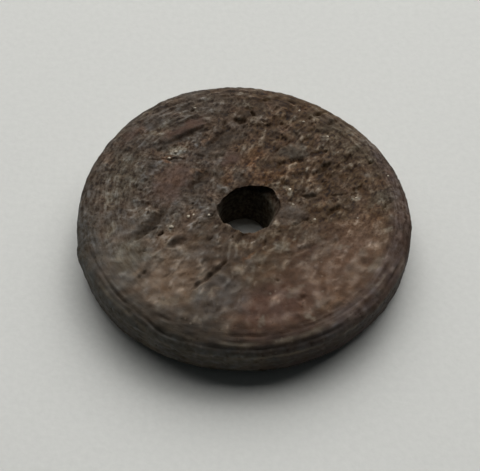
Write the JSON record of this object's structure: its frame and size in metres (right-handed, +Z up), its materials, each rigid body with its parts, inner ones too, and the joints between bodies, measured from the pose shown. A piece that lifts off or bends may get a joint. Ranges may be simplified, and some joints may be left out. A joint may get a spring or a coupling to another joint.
{
  "type": "pierced bone disc",
  "caption": "Thick round disc turned from one piece of dark, worn bone, with a grooved shoulder and a drilled hole near its middle, for a spindle or cord.",
  "frame": {"origin": "on the underside's plane, below the middle of the disc's box", "axes": "+Z up through the disc's thickness to its grooved face, +X to the right and +Y away as the picture shows it lying"},
  "size_m": [0.0418, 0.0422, 0.006],
  "materials": {
    "bone": "matte, worn bone"
  },
  "bodies": {
    "root": {"pierced_disc": "bone"}
  },
  "joints": []
}
